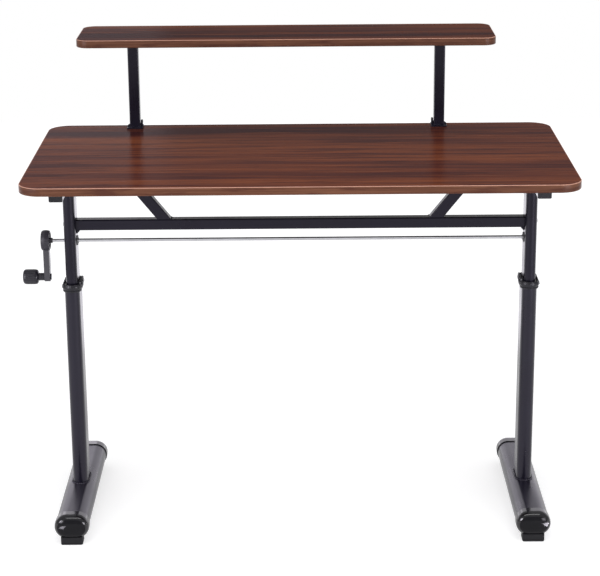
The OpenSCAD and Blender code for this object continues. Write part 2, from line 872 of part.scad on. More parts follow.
// One post: an upright tab beside its foot, towards the other post, and a sloped rib on the far side
module shelf_post() {
    rib_t = 3;
    slit = 1;
    ledge = (post_foot_w - post_w) / 2;
    tab_r = (ledge - slit) / 2 - 0.25;
    tube_z0 = desk_h + post_plate_t;
    tube_z1 = shelf_under - post_plate_t;
    color(black_paint) {
        translate([0, 0, desk_h]) post_foot_plate();
        translate([0, 0, tube_z1]) post_head_plate();
        translate([0, 0, tube_z0]) linear_extrude(tube_z1 - tube_z0) square_tube(post_w);
        translate([post_w / 2, 0, tube_z0]) along_y(rib_t) {
            translate([slit, 0]) square([2 * tab_r, post_tab_h - tab_r]);
            translate([slit + tab_r, post_tab_h - tab_r]) circle(r = tab_r);
            square([2 * slit, post_tab_h / 2]);
        }
        translate([-post_w / 2, 0, tube_z0]) along_y(rib_t)
            polygon([[0, 0], [-ledge, 0], [-ledge, 1.5], [-1, ledge], [0, ledge]]);
    }
}

module left_shelf_post() at_desk() translate([post_xs[0], post_y, 0]) shelf_post();
module right_shelf_post() at_desk() translate([post_xs[1], post_y, 0]) mirror([1, 0, 0]) shelf_post();

module post_screws() {
    color(zinc) at_desk() post_bolt_places() translate([0, 0, under_z])
        cap_bolt(plate_bolt_d, plate_bolt_head_d, plate_bolt_head_h, board_t + post_plate_t + post_bolt_tail);
}

module shelf_screws() {
    color(zinc) at_desk() shelf_screw_places() translate([0, 0, shelf_under - post_plate_t])
        wood_screw(post_plate_t + wood_screw_bite);
}

// Gear housings, bearings and bushes

module gear_housing() {
    color(black_plastic) translate([0, 0, rod_z]) difference() {
        translate([0, 0, -housing_below]) linear_extrude(housing_below + housing_above)
            oval(bore_w - 2 * seat_gap, bore_d - 2 * seat_gap);
        translate([-up_w, -cavity_half, -cavity_below]) cube([2 * up_w, 2 * cavity_half, cavity_below + cavity_half]);
        translate([0, 0, -housing_below - eps]) cylinder(d = journal_d + 2 * run_gap, h = housing_below);
        translate([0, 0, bar_z - rod_z]) rod_x(plate_bolt_d + 2 * seat_gap, -up_w, up_w);
    }
}

module left_gear_housing() at_leg(side_left) gear_housing();
module right_gear_housing() at_leg(side_right) gear_housing();

module thrust_bearings() {
    race_in = journal_d / 2 + run_gap;
    race_out = bearing_d / 2;
    ball_r = (race_in + race_out) / 2;
    race_t = bearing_h / 2 - 0.9;
    color(steel) both_legs() translate([0, 0, rod_z - housing_below - bearing_h]) {
        for (z = [0, bearing_h - race_t]) rotate_extrude() difference() {
            translate([race_in, z]) square([race_out - race_in, race_t]);
            translate([ball_r, bearing_h / 2]) circle(d = ball_d + 2 * race_play);
        }
        for (i = [0 : ball_count - 1]) rotate([0, 0, i * 360 / ball_count])
            translate([ball_r, 0, bearing_h / 2]) sphere(d = ball_d, $fn = 24);
    }
}

module rod_bushes() {
    wall_in = up_w / 2 - up_wall;
    wall_out = up_w / 2;
    color(nylon) {
        both_legs() translate([0, 0, rod_z]) difference() {
            union() {
                rod_x(bush_d, wall_in, wall_out);
                rod_x(bush_flange_d, wall_out, wall_out + bush_flange_t);
            }
            rod_x(rod_gear_hub_d + 2 * run_gap, 0, up_w);
        }
        at_leg(side_left) translate([0, 0, rod_z]) difference() {
            union() {
                rod_x(end_bush_d, -wall_out, -wall_in);
                rod_x(end_bush_flange_d, -wall_out - end_bush_flange_t, -wall_out);
            }
            rod_x(rod_end_d + 2 * run_gap, -up_w, 0);
        }
    }
}

// Bevel gears, drawn with the apex at the origin and the teeth towards it

// A tooth gap: three planes through the apex, the outside of the cone towards -z
module tooth_gap() {
    reach = 2 * cone_l;
    half = atan(gap_share * gear_pitch / 2 / cone_l);
    depth = atan(tooth_in / cone_l);
    intersection() {
        tooth_side(half, reach);
        mirror([0, 1, 0]) tooth_side(half, reach);
        rotate([0, -depth, 0]) translate([0, -reach, -reach]) cube([reach, 2 * reach, reach]);
    }
}

module tooth_side(half, reach) {
    rotate([0, 0, half]) rotate([flank, 0, 0]) translate([0, -reach, -reach])
        cube([reach, reach, 2 * reach]);
}

module bevel_gear(bore_r, bore_fn, hub_d, hub_z, turn) {
    out = tooth_out / sqrt(2);
    inn = tooth_in / sqrt(2);
    difference() {
        rotate_extrude() polygon([
            [0, toe * (gear_r + inn)], [toe * (gear_r - inn), toe * (gear_r + inn)],
            [toe * (gear_r + out), toe * (gear_r - out)], [gear_r + out, gear_r - out],
            [gear_r - inn - gear_back / sqrt(2), heel_back_z],
            [hub_d / 2, heel_back_z], [hub_d / 2, hub_z], [0, hub_z]
        ]);
        cylinder(r = bore_r, h = 3 * gear_r, $fn = bore_fn);
        for (i = [0 : teeth - 1]) rotate([0, 0, (i + turn) * 360 / teeth])
            rotate([0, -45, 0]) tooth_gap();
    }
}

module screw_gear() {
    color(steel) translate([0, 0, rod_z]) rotate([180, 0, 0])
        bevel_gear(gear_seat_d / 2 + run_gap, 64, screw_gear_hub_d, screw_gear_hub_z, 0);
}

module rod_gear() {
    color(steel) translate([0, 0, rod_z]) rotate([0, 90, 0])
        bevel_gear(rod_corner_d / 2 + run_gap, 6, rod_gear_hub_d, rod_gear_hub_z, 0.5);
}

module left_screw_gear() at_leg(side_left) screw_gear();
module right_screw_gear() at_leg(side_right) screw_gear();
module left_rod_gear() at_leg(side_left) rod_gear();
module right_rod_gear() at_leg(side_right) rod_gear();

// Lead screws: their threads are drawn as plain rods of the outer diameter

module lead_screw() {
    shoulder_top = rod_z - housing_below - bearing_h - seat_gap;
    seat_z = rod_z - cavity_below;
    top_z = rod_z - toe * (gear_r + tooth_in / sqrt(2));
    color(steel) {
        translate([0, 0, screw_bottom]) cylinder(d = screw_d, h = shoulder_top - shoulder_h - screw_bottom);
        translate([0, 0, shoulder_top - shoulder_h]) cylinder(d = shoulder_d, h = shoulder_h);
        translate([0, 0, shoulder_top]) cylinder(d = journal_d, h = seat_z - shoulder_top);
        translate([0, 0, seat_z]) cylinder(d = gear_seat_d, h = top_z - seat_z);
    }
}

module left_lead_screw() at_leg(side_left) lead_screw();
module right_lead_screw() at_leg(side_right) lead_screw();

// Crank rod: hexagonal between the legs, round where it leaves the left leg
module crank_rod() {
    color(zinc) at_desk() translate([0, 0, rod_z]) {
        rod_x(rod_end_d, -leg_span / 2 - hub_at - rod_in_hub, -leg_span / 2 - rod_shoulder);
        translate([-leg_span / 2 - rod_shoulder, 0, 0]) rotate([0, 90, 0])
            cylinder(d = rod_corner_d, h = leg_span + rod_shoulder - rod_short, $fn = 6);
    }
}

// The crank's own frame: z points outwards from the left leg and x points up
module at_crank() at_desk() translate([-leg_span / 2, 0, rod_z]) rotate([0, -90, 0]) children();

module crank_hub() {
    mid = (hub_at + hub_end) / 2;
    edge = hub_d / 2 - hub_barrel;
    color(black_plastic) at_crank() difference() {
        rotate_extrude() polygon([
            [0, boss_at], [boss_d / 2, boss_at], [boss_d / 2, hub_at + hub_recess],
            [hub_d / 2 - hub_barrel - hub_rim, hub_at + hub_recess], [hub_d / 2 - hub_barrel - hub_rim, hub_at],
            [edge - 0.8, hub_at], [edge, hub_at + 0.8], [hub_d / 2 - 0.4, mid - 4], [hub_d / 2, mid],
            [hub_d / 2 - 0.4, mid + 4], [edge, hub_end - 2], [edge - 2, hub_end], [0, hub_end]
        ]);
        cylinder(d = rod_end_d + 2 * seat_gap, h = hub_at + rod_in_hub + seat_gap);
        translate([-hub_d, -arm_w / 2 - seat_gap, arm_at - seat_gap])
            cube([hub_d - arm_grip_r + seat_gap, arm_w + 2 * seat_gap, arm_t + 2 * seat_gap]);
    }
}

module crank_arm() {
    color(black_paint) at_crank() translate([0, 0, arm_at]) difference() {
        linear_extrude(arm_t) {
            translate([-crank_r, 0]) circle(d = arm_w);
            translate([-crank_r, -arm_w / 2]) square([crank_r - arm_grip_r, arm_w]);
        }
        translate([-crank_r, 0, -eps]) cylinder(d = pin_d + 2 * seat_gap, h = arm_t + 2 * eps);
    }
}

module knob_pin() {
    color(zinc) at_crank() translate([-crank_r, 0, arm_at]) {
        translate([0, 0, -pin_head_t]) cylinder(d = pin_head_d, h = pin_head_t);
        cylinder(d = pin_d, h = pin_end - arm_at);
    }
}

module crank_knob() {
    color(black_plastic) at_crank() translate([-crank_r, 0, 0]) difference() {
        rotate_extrude() {
            translate([0, neck_at]) square([neck_d / 2, neck_l + eps]);
            translate([0, grip_at + grip_round]) square([grip_d / 2, grip_l - 2 * grip_round]);
            translate([0, grip_at]) square([grip_d / 2 - grip_round, grip_l]);
            for (z = [grip_at + grip_round, knob_end - grip_round])
                translate([grip_d / 2 - grip_round, z]) circle(r = grip_round);
        }
        for (i = [0 : grip_flutes - 1]) rotate([0, 0, (i + 0.5) * 360 / grip_flutes])
            translate([grip_d / 2 + flute_r - flute_t, 0, grip_at + grip_round + flute_end])
                cylinder(r = flute_r, h = grip_l - 2 * (grip_round + flute_end), $fn = 24);
        translate([0, 0, neck_at - eps]) cylinder(d = pin_d + 2 * run_gap, h = pin_end + pin_play - neck_at + eps);
    }
}

left_foot_tube();
right_foot_tube();
left_foot_caps();
right_foot_caps();
foot_pads();
left_lower_tube();
right_lower_tube();
leg_base_plates();
foot_bolts();
left_guide_sleeve();
right_guide_sleeve();
left_clamp_collar();
right_clamp_collar();
lever_pins();
left_nut_tube();
right_nut_tube();
left_lead_nut();
right_lead_nut();
left_lock_lever();
right_lock_lever();
left_upper_tube();
right_upper_tube();
left_slide_block();
right_slide_block();
leg_top_plates();
top_plate_bolts();
left_side_rail();
right_side_rail();
rail_end_plugs();
crossbar();
crossbar_end_blocks();
crossbar_bolts();
crossbar_gussets();
left_brace();
right_brace();
desktop();
desktop_edge_band();
desktop_screws();
shelf();
shelf_edge_band();
left_shelf_post();
right_shelf_post();
post_screws();
shelf_screws();
left_gear_housing();
right_gear_housing();
thrust_bearings();
rod_bushes();
left_lead_screw();
right_lead_screw();
left_screw_gear();
right_screw_gear();
crank_rod();
left_rod_gear();
right_rod_gear();
crank_hub();
crank_arm();
knob_pin();
crank_knob();
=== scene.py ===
import math

import bmesh
import bpy
from mathutils import Matrix, Vector


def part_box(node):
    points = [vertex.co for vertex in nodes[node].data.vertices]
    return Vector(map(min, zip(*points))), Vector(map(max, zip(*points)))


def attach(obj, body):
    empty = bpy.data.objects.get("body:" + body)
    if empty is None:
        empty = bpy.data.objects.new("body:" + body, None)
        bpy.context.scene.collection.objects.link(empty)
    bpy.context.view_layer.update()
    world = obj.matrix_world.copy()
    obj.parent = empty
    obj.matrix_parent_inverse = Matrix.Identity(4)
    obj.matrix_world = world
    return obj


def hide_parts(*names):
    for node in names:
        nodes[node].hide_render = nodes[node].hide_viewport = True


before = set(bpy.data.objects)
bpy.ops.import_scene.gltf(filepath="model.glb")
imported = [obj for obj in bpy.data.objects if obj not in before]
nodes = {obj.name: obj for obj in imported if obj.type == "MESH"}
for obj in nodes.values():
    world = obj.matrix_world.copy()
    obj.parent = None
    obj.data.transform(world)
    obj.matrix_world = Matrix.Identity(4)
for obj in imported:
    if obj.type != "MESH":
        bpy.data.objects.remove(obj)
scene = bpy.context.scene
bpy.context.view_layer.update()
mm = 0.001


# Camera
# It stands four metres in front of the desk, a little above a standing person's eyes, and looks down at the desktop by
# 17 degrees. A small shift puts the object where the photograph's frame has it.
photo_width = 600
focal_pixels = 1851.5
frame_shift = -0.05
camera_at = (0.0182, -4.1098, 1.8461)
look_down = math.radians(16.91)
tilt = math.radians(-0.43)

lens = bpy.data.cameras.new("photo_camera")
lens.lens = focal_pixels / photo_width * lens.sensor_width
lens.shift_y = frame_shift
camera = bpy.data.objects.new("photo_camera", lens)
camera.matrix_world = (
    Matrix.Translation(camera_at)
    @ Matrix.Rotation(math.pi / 2 - look_down, 4, "X")
    @ Matrix.Rotation(tilt, 4, "Z")
)
scene.collection.objects.link(camera)
scene.camera = camera
scene.view_settings.view_transform = "Standard"


# Studio
# A pale floor in soft light from all round, with softboxes over the front of the desk and at both sides in front. Floor
# and sky are white to the camera, and the floor keeps the desk's shadow. In gloss the sky is dimmer above the horizon,
# panels show behind and beside the desk, and a card on the floor by each front cap shows in the caps alone.
floor_size = 7.0
floor_at = (0, 0.6, -0.0005)
floor_tone = (0.62, 0.62, 0.63, 1)
floor_lift = 0.62
sky_light = 0.78
sky_in_gloss = 0.5
horizon_low, horizon_high = 0.05, 0.12
panel_tint = (0.94, 0.90, 1.0)


def look_through(tree):
    """1 for the camera, for reflections and through glass, 0 for light that falls on a surface."""
    path = tree.nodes.new("ShaderNodeLightPath")
    total = path.outputs["Is Camera Ray"]
    for ray in ("Is Glossy Ray", "Is Transmission Ray"):
        add = tree.nodes.new("ShaderNodeMath")
        add.operation = "ADD"
        add.use_clamp = True
        tree.links.new(total, add.inputs[0])
        tree.links.new(path.outputs[ray], add.inputs[1])
        total = add.outputs[0]
    return total


sky = bpy.data.worlds.new("studio")
sky.use_nodes = True
glow = sky.node_tree.nodes["Background"]
glow.inputs["Color"].default_value = (1, 1, 1, 1)


def sky_step(kind, *values):
    """A math or range node of the sky, whose inputs are numbers or other nodes' outputs."""
    step = sky.node_tree.nodes.new(kind)
    for socket, value in zip(step.inputs, values):
        if isinstance(value, (int, float)):
            socket.default_value = value
        else:
            sky.node_tree.links.new(value, socket)
    return step.outputs[0]


toward = sky.node_tree.nodes.new("ShaderNodeTexCoord").outputs["Generated"]
split = sky.node_tree.nodes.new("ShaderNodeSeparateXYZ")
sky.node_tree.links.new(toward, split.inputs[0])
path = sky.node_tree.nodes.new("ShaderNodeLightPath")
in_gloss = sky_step("ShaderNodeMapRange", split.outputs["Z"], horizon_low, horizon_high, 1.0, sky_in_gloss)
strength = sky_step("ShaderNodeMapRange", path.outputs["Is Glossy Ray"], 0.0, 1.0, sky_light, in_gloss)
strength = sky_step("ShaderNodeMapRange", path.outputs["Is Camera Ray"], 0.0, 1.0, strength, 1.0)
sky.node_tree.links.new(strength, glow.inputs["Strength"])
scene.world = sky

floor_finish = bpy.data.materials.new("pale_floor")
floor_finish.use_nodes = True
tree = floor_finish.node_tree
tree.nodes.clear()
matt = tree.nodes.new("ShaderNodeBsdfDiffuse")
matt.inputs["Color"].default_value = floor_tone
lift = tree.nodes.new("ShaderNodeEmission")
lift.inputs["Color"].default_value = (1, 1, 1, 1)
lift_strength = tree.nodes.new("ShaderNodeMath")
lift_strength.operation = "MULTIPLY"
lift_strength.inputs[1].default_value = floor_lift
tree.links.new(look_through(tree), lift_strength.inputs[0])
tree.links.new(lift_strength.outputs[0], lift.inputs["Strength"])
both = tree.nodes.new("ShaderNodeAddShader")
tree.links.new(matt.outputs[0], both.inputs[0])
tree.links.new(lift.outputs[0], both.inputs[1])
surface = tree.nodes.new("ShaderNodeOutputMaterial")
tree.links.new(both.outputs[0], surface.inputs["Surface"])

bm = bmesh.new()
bmesh.ops.create_grid(bm, x_segments=1, y_segments=1, size=floor_size / 2)
floor_mesh = bpy.data.meshes.new("floor")
bm.to_mesh(floor_mesh)
bm.free()
floor_mesh.materials.append(floor_finish)
floor = bpy.data.objects.new("floor", floor_mesh)
floor.location = floor_at
scene.collection.objects.link(floor)


def softbox(name, at, aim, width, height, watts):
    """A rectangular lamp at a place, which faces the point aim."""
    lamp = bpy.data.lights.new(name, "AREA")
    lamp.shape = "RECTANGLE"
    lamp.size = width
    lamp.size_y = height
    lamp.energy = watts
    holder = bpy.data.objects.new(name, lamp)
    facing = (Vector(at) - Vector(aim)).to_track_quat("Z", "Y")
    holder.matrix_world = Matrix.Translation(at) @ facing.to_matrix().to_4x4()
    scene.collection.objects.link(holder)
    return holder


def gloss_panel(name, at, aim, width, height, radiance):
    """A faintly violet panel of an even radiance that shows in reflections and lights nothing else."""
    panel = softbox(name, at, aim, width, height, radiance * math.pi * width * height)
    panel.data.color = panel_tint
    panel.visible_camera = False
    panel.visible_diffuse = False
    panel.visible_transmission = False
    panel.data.use_shadow = False
    return panel


softbox("over_front", (0.1, -0.9, 2.9), (0, -0.2, 0.8), 2.2, 0.6, 18)
softbox("front_left", (-2.3, -2.7, 1.5), (-0.2, -0.2, 0.4), 1.2, 1.2, 15)
softbox("front_right", (2.4, -3.0, 1.2), (0.2, -0.2, 0.5), 1.2, 1.2, 12)
gloss_panel("back_panel", (0, 1.0, 0.36), (0, 0, 0.36), 4.0, 0.68, 1.05)
gloss_panel("left_window", (-2.4, -2.1, 1.2), (-0.5, -0.25, 0.05), 1.5, 1.1, 13)
gloss_panel("right_window", (2.2, -2.3, 0.75), (0.55, -0.25, 0.05), 1.3, 1.0, 11)
floor_cards = (
    gloss_panel("left_floor_card", (-0.59, -0.415, 0.003), (-0.59, -0.415, 1), 0.09, 0.12, 26),
    gloss_panel("right_floor_card", (0.695, -0.365, 0.003), (0.695, -0.365, 1), 0.15, 0.14, 50),
)
gloss_panel("back_left", (-1.25, 3.0, 1.25), (-0.4, 0.1, 0.86), 1.5, 0.5, 1.3)


# Feet
# Two flat oval steel tubes lie along Y, powder coated black after cutting. The coat is semi-gloss, a little uneven, and
# fine as orange peel, so it takes soft reflections of the white room.
paint_dark = (0.0048, 0.0039, 0.0105, 1)
paint_pale = (0.0098, 0.0084, 0.0185, 1)
paint_tint = (0.90, 0.86, 1.0, 1)
noise_span = (0.3, 0.7)


def new_finish(name):
    """A material, its node tree and its main shader."""
    finish = bpy.data.materials.new(name)
    finish.use_nodes = True
    return finish, finish.node_tree, finish.node_tree.nodes["Principled BSDF"]


def pattern(tree, stretch, scale, detail, at=(0, 0, 0), places=None):
    """A noise on places, or else on the piece's own coordinates, which are metres in the desk's frame."""
    places = places or tree.nodes.new("ShaderNodeTexCoord").outputs["Object"]
    mapping = tree.nodes.new("ShaderNodeMapping")
    mapping.inputs["Scale"].default_value = stretch
    mapping.inputs["Location"].default_value = at
    texture = tree.nodes.new("ShaderNodeTexNoise")
    texture.inputs["Scale"].default_value = scale
    texture.inputs["Detail"].default_value = detail
    tree.links.new(places, mapping.inputs["Vector"])
    tree.links.new(mapping.outputs["Vector"], texture.inputs["Vector"])
    return texture.outputs[0]


def between(tree, source, low, high, to_low=0.0, to_high=1.0):
    """Takes source from the span low to high to the span to_low to to_high."""
    span = tree.nodes.new("ShaderNodeMapRange")
    for socket, value in zip(span.inputs[1:5], (low, high, to_low, to_high)):
        socket.default_value = value
    tree.links.new(source, span.inputs["Value"])
    return span.outputs["Result"]


def blend_colours(tree, factor, first, second):
    """Blends two colours, each a value or another node's output, by factor."""
    mix = tree.nodes.new("ShaderNodeMix")
    mix.data_type = "RGBA"
    for socket, value in ((mix.inputs[0], factor), (mix.inputs[6], first), (mix.inputs[7], second)):
        if isinstance(value, (tuple, float)):
            socket.default_value = value
        else:
            tree.links.new(value, socket)
    return mix.outputs[2]


def raise_surface(tree, shader, height, depth, strength):
    """Lets a pattern stand out of the surface by depth, in metres."""
    bump = tree.nodes.new("ShaderNodeBump")
    bump.inputs["Strength"].default_value = strength
    bump.inputs["Distance"].default_value = depth
    tree.links.new(height, bump.inputs["Height"])
    tree.links.new(bump.outputs["Normal"], shader.inputs["Normal"])


def mottled(name, colours, roughness, cloud, grain, raised, gloss=0.5, metallic=0.0, drawn=(1, 1)):
    """A finish that drifts in clouds from one colour and roughness to another, under a fine raised grain. Cloud and
    grain are each a noise's scale and detail, drawn squeezes each along Z, and raised is the grain's depth and
    strength."""
    finish, tree, shader = new_finish(name)
    drift = pattern(tree, (1, 1, drawn[0]), *cloud)
    tree.links.new(blend_colours(tree, drift, *colours), shader.inputs["Base Color"])
    tree.links.new(between(tree, drift, *noise_span, *roughness), shader.inputs["Roughness"])
    shader.inputs["Specular IOR Level"].default_value = gloss
    shader.inputs["Metallic"].default_value = metallic
    raise_surface(tree, shader, pattern(tree, (1, 1, drawn[1]), *grain), *raised)
    return finish


def dress(finish, *names):
    """Gives CAD nodes their finish."""
    for name in names:
        for slot in nodes[name].material_slots:
            slot.material = finish


def powder(name, gloss):
    """Black powder coat whose mirror share is gloss."""
    finish = mottled(
        name, (paint_dark, paint_pale), roughness=(0.24, 0.34), cloud=(9.0, 4.0), grain=(620.0, 2.0),
        raised=(0.02 * mm, 0.6), gloss=gloss,
    )
    finish.node_tree.nodes["Principled BSDF"].inputs["Specular Tint"].default_value = paint_tint
    return finish


foot_coat = powder("foot_powder_coat", 0.38)
powder_coat = powder("frame_powder_coat", 0.26)

dress(foot_coat, "left_foot_tube", "right_foot_tube")


# Foot caps
# Glossy moulded caps close both ends of each foot. A sleeve band stands proud of the tube behind a narrow gap, and the
# nose steps in from it and is rounded all the way to its domed face.
cap_black = (0.008, 0.008, 0.010, 1)
cap_grey = (0.014, 0.0135, 0.017, 1)
cap_length = 38 * mm
foot_middle_y = sum(v.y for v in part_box("left_foot_tube")) / 2
nose_from = 230.4 * mm
nose_gloss = 0.13
sleeve_gloss = 0.5
sharp_edge = 35
doubled_corner = 0.02 * mm

cap_plastic = mottled(
    "glossy_black_plastic", (cap_black, cap_grey), roughness=(0.09, 0.15), cloud=(30.0, 3.0), grain=(240.0, 1.0),
    raised=(0.02 * mm, 0.5),
)
tree = cap_plastic.node_tree
where = tree.nodes.new("ShaderNodeTexCoord")
split = tree.nodes.new("ShaderNodeSeparateXYZ")
from_middle = tree.nodes.new("ShaderNodeMath")
from_middle.operation = "COMPARE"
from_middle.inputs[1].default_value = foot_middle_y
from_middle.inputs[2].default_value = nose_from
tree.links.new(where.outputs["Object"], split.inputs["Vector"])
tree.links.new(split.outputs["Y"], from_middle.inputs[0])
tree.links.new(
    between(tree, from_middle.outputs[0], 0.0, 1.0, nose_gloss, sleeve_gloss),
    tree.nodes["Principled BSDF"].inputs["Specular IOR Level"],
)


def rounded_face(bm, centre, across, up, width, height, corner, steps):
    """A flat face with rounded corners, width along across and height along up."""
    known = set(bm.faces)
    across, up = Vector(across) * width / 2, Vector(up) * height / 2
    places = [-across - up, across - up, across + up, -across + up]
    face = bm.faces.new([bm.verts.new(Vector(centre) + place) for place in places])
    bmesh.ops.bevel(
        bm, geom=face.verts[:], offset=corner, segments=steps, affect="VERTICES", profile=0.5, material=-1
    )
    verts = {vert for new in set(bm.faces) - known for vert in new.verts}
    bmesh.ops.remove_doubles(bm, verts=list(verts), dist=doubled_corner)
    return (set(bm.faces) - known).pop()


def draw_out(bm, face, along, stations):
    """Draws a flat face out along an axis into a closed body. Each station is a distance from the first face, and how
    far the outline has come in by then. The first one keeps the outline."""
    along = Vector(along)
    made = bmesh.ops.extrude_face_region(bm, geom=[face])["geom"]
    face = next(part for part in made if isinstance(part, bmesh.types.BMFace))
    reached, come_in = stations[0]
    bmesh.ops.translate(bm, verts=face.verts[:], vec=along * reached)
    face.normal_update()
    if face.normal.dot(along) < 0:
        face.normal_flip()
    for distance, inset in stations[1:]:
        face.normal_update()
        bmesh.ops.inset_individual(
            bm, faces=[face], thickness=inset - come_in, depth=distance - reached, use_even_offset=True
        )
        reached, come_in = distance, inset


def make_piece(name, bm, finish, body, sharp=sharp_edge):
    """Turns a finished bmesh into a piece that rides on a body and wears the given finish."""
    bmesh.ops.recalc_face_normals(bm, faces=bm.faces[:])
    mesh = bpy.data.meshes.new(name)
    bm.to_mesh(mesh)
    bm.free()
    mesh.materials.append(finish)
    mesh.shade_smooth()
    mesh.set_sharp_from_angle(angle=math.radians(sharp))
    piece = bpy.data.objects.new(name, mesh)
    scene.collection.objects.link(piece)
    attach(piece, body)
    return piece


seam = 0.5 * mm
gap_w = 0.9 * mm
gap_t = 1.0 * mm
sleeve_t = 0.9 * mm
sleeve_end = 18.4 * mm
nose_t = 0.8 * mm
nose_at = 19 * mm
nose_power = 2.3
nose_stations = (0.3, 0.45, 0.58, 0.68, 0.76, 0.83, 0.88, 0.92, 0.95, 0.97, 0.983, 0.992, 0.997)
step = 0.1 * mm
edge = 0.3 * mm

shiny_caps = bpy.data.collections.new("shiny_caps")
for card in floor_cards:
    card.light_linking.receiver_collection = shiny_caps
for side in ("left", "right"):
    low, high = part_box(side + "_foot_caps")
    width, height = high.x - low.x - 2 * seam, high.z - low.z - 2 * seam
    stations = [
        (step, gap_t), (gap_w, gap_t), (gap_w + step, edge - sleeve_t), (gap_w + step + edge, -sleeve_t),
        (sleeve_end - edge, -sleeve_t), (sleeve_end, edge - sleeve_t), (sleeve_end + step, -nose_t),
        (nose_at, -nose_t),
    ]
    for share in nose_stations:
        drawn_in = 1 - (1 - share**nose_power) ** (1 / nose_power)
        stations.append((nose_at + (cap_length - nose_at) * share, height / 2 * drawn_in - nose_t))
    bm = bmesh.new()
    for end, y in ((-1, low.y + cap_length), (1, high.y - cap_length)):
        centre = ((low.x + high.x) / 2, y, (low.z + high.z) / 2)
        outline = rounded_face(bm, centre, (1, 0, 0), (0, 0, 1), width, height, height / 2, steps=28)
        draw_out(bm, outline, (0, end, 0), stations)
    caps = make_piece(side + "_moulded_caps", bm, cap_plastic, "base")
    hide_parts(side + "_foot_caps")
    shiny_caps.objects.link(caps)


# Foot pads
# Four rounded rubber blocks, pressed up into the undersides of the caps. A groove runs round each one above its sole.
pad_width = 50 * mm
pad_length = 34 * mm
pad_inward = 17 * mm
pad_corner = 5 * mm
sole_lip = 0.2 * mm
sole_edge = 0.8 * mm
sole_height = 4.2 * mm
groove_slope = 0.3 * mm
groove_floor = 0.6 * mm
groove_inset = 0.1 * mm

rubber = mottled(
    "pad_rubber", ((0.010, 0.010, 0.012, 1), (0.018, 0.018, 0.021, 1)), roughness=(0.55, 0.7), cloud=(60.0, 3.0),
    grain=(900.0, 2.0), raised=(0.05 * mm, 0.7), gloss=0.22,
)

low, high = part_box("foot_pads")
pad_top = high.z - low.z
bm = bmesh.new()
for side in ("left", "right"):
    foot_low, foot_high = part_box(side + "_foot_caps")
    for y in (foot_low.y + cap_length - pad_inward, foot_high.y - cap_length + pad_inward):
        sole = rounded_face(
            bm, ((foot_low.x + foot_high.x) / 2, y, low.z), (1, 0, 0), (0, 1, 0),
            pad_width - 2 * sole_edge, pad_length - 2 * sole_edge, pad_corner - sole_edge, steps=8,
        )
        draw_out(bm, sole, (0, 0, 1), [
            (sole_lip, 0), (sole_lip + sole_edge, -sole_edge), (sole_height, -sole_edge),
            (sole_height + groove_slope, groove_inset), (sole_height + groove_slope + groove_floor, groove_inset),
            (sole_height + 2 * groove_slope + groove_floor, -sole_edge), (pad_top, -sole_edge),
        ])
pads = make_piece("moulded_pads", bm, rubber, "base")
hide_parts("foot_pads")


# Lower legs
# Oval steel tubes stand on the feet. Each is welded round its foot, bolted from below through a plate inside it, and
# powder coated with the foot, so the weld's ripples show through the coat.
bead = 3.1 * mm
bead_step = 4.8 * mm
bead_out = 0.8 * mm
foot_round = 26 * mm
foot_flat = 11.5 * mm

weld_coat = powder("weld_powder_coat", 0.45)
dress(foot_coat, "left_lower_tube", "right_lower_tube")


def around_oval(width, depth, step):
    """Places about a step apart round an oval whose long side lies along Y."""
    radius, flat = width / 2, depth - width
    arc_count, flat_count = round(math.pi * radius / step), round(flat / step)
    places = []
    for end in (-1, 1):
        for i in range(arc_count):
            angle = math.pi * i / arc_count
            places.append(end * Vector((radius * math.cos(angle), flat / 2 + radius * math.sin(angle), 0)))
        for i in range(flat_count):
            places.append(end * Vector((-radius, flat / 2 - flat * i / flat_count, 0)))
    return places


def lay_bead(bm, places, radius, faces=1):
    """A weld bead, one small round ripple at each place."""
    for place in places:
        bmesh.ops.create_icosphere(bm, subdivisions=faces, radius=radius, matrix=Matrix.Translation(place))


for side in ("left", "right"):
    low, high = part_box(side + "_lower_tube")
    foot_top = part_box(side + "_foot_tube")[1].z
    axis = Vector(((low.x + high.x) / 2, (low.y + high.y) / 2, 0))
    bm = bmesh.new()
    places = []
    for place in around_oval(high.x - low.x + 2 * bead_out, high.y - low.y + 2 * bead_out, bead_step):
        out = max(0, abs(place.x) - foot_flat)
        drop = foot_round - math.sqrt(foot_round**2 - out**2)
        places.append(axis + place + Vector((0, 0, foot_top - drop)))
    lay_bead(bm, places, bead, 2)
    make_piece(side + "_leg_weld", bm, weld_coat, "base", sharp=60)

bare_steel = mottled(
    "oiled_bare_steel", ((0.30, 0.30, 0.31, 1), (0.46, 0.46, 0.47, 1)), roughness=(0.28, 0.46), cloud=(60.0, 5.0),
    grain=(500.0, 2.0), raised=(0.03 * mm, 0.5), metallic=1.0,
)
dress(bare_steel, "leg_base_plates")

zinc = mottled(
    "zinc_plated_steel", ((0.36, 0.36, 0.38, 1), (0.52, 0.52, 0.54, 1)), roughness=(0.24, 0.40), cloud=(45.0, 4.0),
    grain=(700.0, 2.0), raised=(0.02 * mm, 0.5), metallic=1.0,
)
dress(zinc, "foot_bolts")


# Clamp collars
# A satin moulded collar stands like a cup round the mouth of each lower leg, over a nylon guide sleeve. Short ribs
# stand round both ends of its belly, and two ears on the inner side hold the lever's pin.
rib_length = 8.2 * mm
rib_width = 1.7 * mm
rib_height = 1.5 * mm
rib_edge = 0.4 * mm
soft_edge = 0.7 * mm
rib_turns = range(-75, 76, 25)
neck_out, neck_up = 21.4 * mm, 7.0 * mm
belly_out, belly_down = 23.3 * mm, 0.8 * mm
same_point = 0.002 * mm
flat_edge = 0.6

